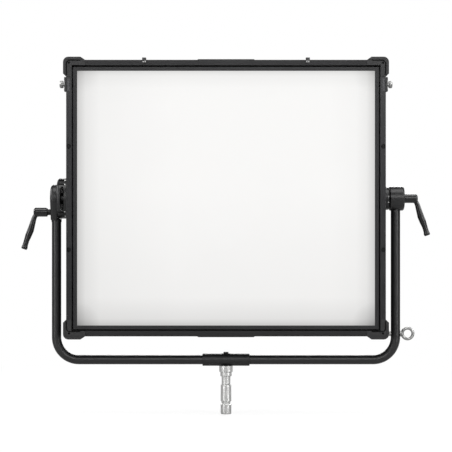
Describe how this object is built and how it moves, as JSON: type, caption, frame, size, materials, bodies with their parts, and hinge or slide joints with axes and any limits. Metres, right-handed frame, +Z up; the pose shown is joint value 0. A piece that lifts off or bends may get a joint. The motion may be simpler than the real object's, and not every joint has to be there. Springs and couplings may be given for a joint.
{
  "type": "led panel light",
  "caption": "Large square LED soft panel with an opal diffuser, tilting in a tubular yoke with clamping levers, on a stand pin.",
  "frame": {"origin": "centre of the stand pin's lower end face", "axes": "+Z up along the stand pin, the lit face looks along -Y, +X to the right as seen from the front"},
  "size_m": [1.0929, 0.1677, 0.9505],
  "materials": {
    "black_anodised": "satin black anodised",
    "black_paint": "fine-textured satin black paint",
    "painted_aluminium": "fine-textured satin black paint",
    "black_plastic": "matt black moulded",
    "bright_steel": "turned bright",
    "opal_diffuser": "opal, lit from behind",
    "white_reflector": "matt white",
    "board_white": "white solder mask",
    "board_green": "green solder mask",
    "bush_bronze": "sintered bronze",
    "screen_glass": "clear gloss over a dark screen",
    "supply_case": "plain sheet"
  },
  "bodies": {
    "yoke": {"yoke_tube": "black_paint", "yoke_sleeve": "black_paint", "stand_pin": "bright_steel", "sleeve_bolt": "black_paint", "left_yoke_head": "painted_aluminium", "left_pivot_bolt": "black_paint", "left_clamp_nut": "bright_steel", "right_yoke_drum": "painted_aluminium", "right_pivot_bush": "bush_bronze", "eye_bolt": "bright_steel", "eye_bolt_nut": "bright_steel"},
    "head": {"top_rail": "black_anodised", "bottom_rail": "black_anodised", "left_rail": "black_anodised", "right_rail": "black_anodised", "diffuser_frame": "black_anodised", "diffuser_panel": "opal_diffuser", "mixing_tray": "white_reflector", "led_board_left": "board_white", "led_board_right": "board_white", "heat_sink": "black_anodised", "rear_cover": "painted_aluminium", "fan_frame_left": "black_plastic", "fan_frame_right": "black_plastic", "fan_guard_left": "black_paint", "fan_guard_right": "black_paint", "control_housing": "black_plastic", "display_window": "screen_glass", "driver_board": "board_green", "power_supply": "supply_case", "mains_inlet": "black_plastic", "data_sockets": "black_plastic", "corner_guard_top_left": "black_plastic", "corner_guard_top_right": "black_plastic", "corner_guard_bottom_left": "black_plastic", "corner_guard_bottom_right": "black_plastic", "top_plate": "black_anodised", "bottom_plate": "black_anodised", "top_clip_left": "black_paint", "top_clip_right": "black_paint", "latch_plate_left": "black_paint", "latch_plate_right": "black_paint", "brake_drum": "painted_aluminium", "right_pivot_flange": "painted_aluminium", "rear_handle_left": "painted_aluminium", "rear_handle_right": "painted_aluminium"},
    "left_lever": {"lever_stud_left": "bright_steel"},
    "left_lever_handle": {"lever_handle_left": "black_paint"},
    "right_lever": {"lever_stud_right": "bright_steel"},
    "right_lever_handle": {"lever_handle_right": "black_paint"},
    "left_latch": {"latch_pin_left": "bright_steel"},
    "right_latch": {"latch_pin_right": "bright_steel"},
    "left_fan": {"fan_rotor_left": "black_plastic"},
    "right_fan": {"fan_rotor_right": "black_plastic"},
    "left_knob": {"encoder_knob_left": "black_plastic"},
    "right_knob": {"encoder_knob_right": "black_plastic"},
    "menu_button": {"button_menu": "black_plastic"},
    "mode_button": {"button_mode": "black_plastic"},
    "rocker": {"power_rocker": "black_plastic"}
  },
  "joints": [
    {"name": "head_tilt", "type": "hinge", "parent": "yoke", "child": "head", "pos_m": [0, 0, 0.577], "axis": [1, 0, 0], "range_deg": [-90, 90]},
    {"name": "left_lever_turn", "type": "hinge", "parent": "yoke", "child": "left_lever", "pos_m": [-0.4225, 0, 0.5403], "axis": [1, 0, 0], "continuous": true},
    {"name": "left_lever_lift", "type": "slide", "parent": "left_lever", "child": "left_lever_handle", "axis": [-1, 0, 0], "range_m": [0, 0.004], "stiffness_N_per_m": 400},
    {"name": "right_lever_turn", "type": "hinge", "parent": "yoke", "child": "right_lever", "pos_m": [0.4225, 0, 0.577], "axis": [1, 0, 0], "continuous": true},
    {"name": "right_lever_lift", "type": "slide", "parent": "right_lever", "child": "right_lever_handle", "axis": [1, 0, 0], "range_m": [0, 0.004], "stiffness_N_per_m": 400},
    {"name": "left_latch_pull", "type": "slide", "parent": "head", "child": "left_latch", "axis": [-1, 0, 0], "range_m": [0, 0.006], "stiffness_N_per_m": 300},
    {"name": "right_latch_pull", "type": "slide", "parent": "head", "child": "right_latch", "axis": [1, 0, 0], "range_m": [0, 0.006], "stiffness_N_per_m": 300},
    {"name": "left_fan_spin", "type": "hinge", "parent": "head", "child": "left_fan", "pos_m": [-0.295, 0.03, 0.702], "axis": [0, 1, 0], "continuous": true},
    {"name": "right_fan_spin", "type": "hinge", "parent": "head", "child": "right_fan", "pos_m": [0.295, 0.03, 0.702], "axis": [0, 1, 0], "continuous": true},
    {"name": "left_knob_turn", "type": "hinge", "parent": "head", "child": "left_knob", "pos_m": [0.035, 0.0906, 0.377], "axis": [0, 1, 0], "continuous": true},
    {"name": "right_knob_turn", "type": "hinge", "parent": "head", "child": "right_knob", "pos_m": [0.085, 0.0906, 0.377], "axis": [0, 1, 0], "continuous": true},
    {"name": "menu_button_press", "type": "slide", "parent": "head", "child": "menu_button", "axis": [0, -1, 0], "range_m": [0, 0.0015], "stiffness_N_per_m": 200},
    {"name": "mode_button_press", "type": "slide", "parent": "head", "child": "mode_button", "axis": [0, -1, 0], "range_m": [0, 0.0015], "stiffness_N_per_m": 200},
    {"name": "rocker_tip", "type": "hinge", "parent": "head", "child": "rocker", "pos_m": [0.13, 0.0876, 0.377], "axis": [1, 0, 0], "range_deg": [-13, 0]}
  ]
}
